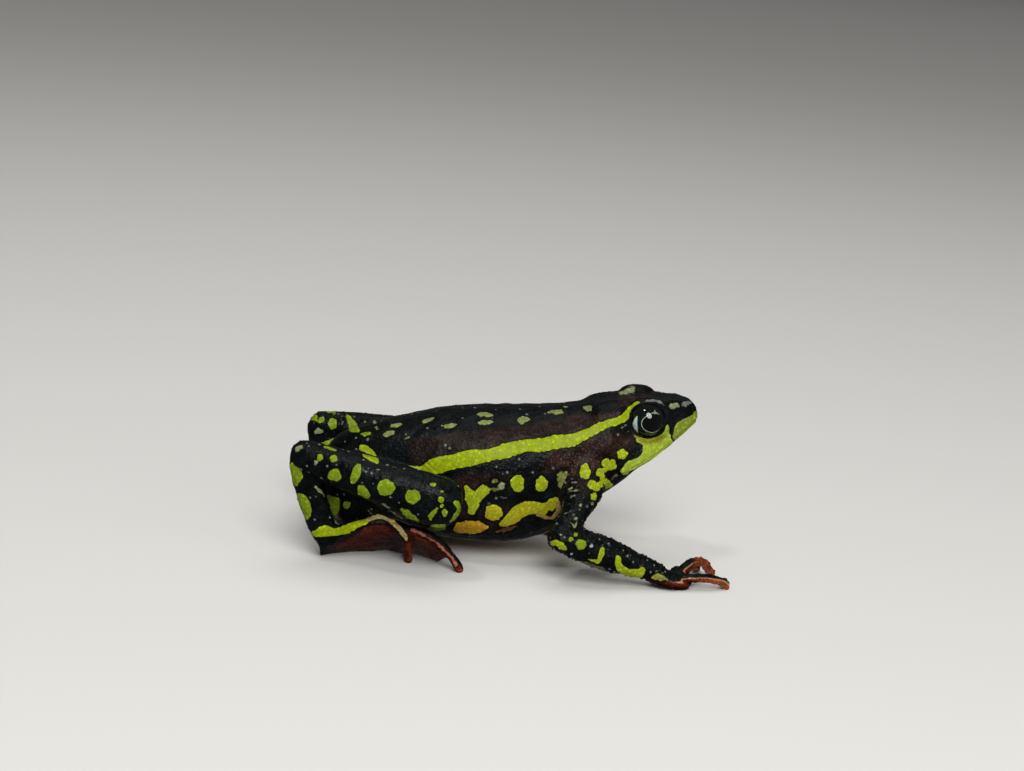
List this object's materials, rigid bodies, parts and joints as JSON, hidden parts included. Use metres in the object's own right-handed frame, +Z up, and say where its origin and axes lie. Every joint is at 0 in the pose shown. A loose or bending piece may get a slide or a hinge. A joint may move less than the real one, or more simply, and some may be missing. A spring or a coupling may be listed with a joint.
{
  "type": "andes stubfoot toad model",
  "caption": "Life-size stubfoot toad at rest on folded hind legs, head raised, with a slim pointed snout.",
  "frame": {"origin": "on the floor, under the middle of the whole toad's plan", "axes": "+X towards the snout, +Y towards the toad's left side, +Z up"},
  "size_m": [0.0406, 0.0218, 0.0162],
  "materials": {
    "skin": "moist granular skin, black with lime-yellow stripes and spots, red-orange soles",
    "eye": "wet gloss, black iris with a thin gold ring"
  },
  "bodies": {
    "root": {"torso": "skin", "head": "skin", "eye_right": "eye", "eye_left": "eye", "upper_arm_right": "skin", "upper_arm_left": "skin", "forearm_right": "skin", "forearm_left": "skin", "hand_right": "skin", "hand_left": "skin", "thigh_right": "skin", "thigh_left": "skin", "shank_right": "skin", "shank_left": "skin", "tarsus_right": "skin", "tarsus_left": "skin", "foot_right": "skin", "foot_left": "skin"}
  },
  "joints": []
}
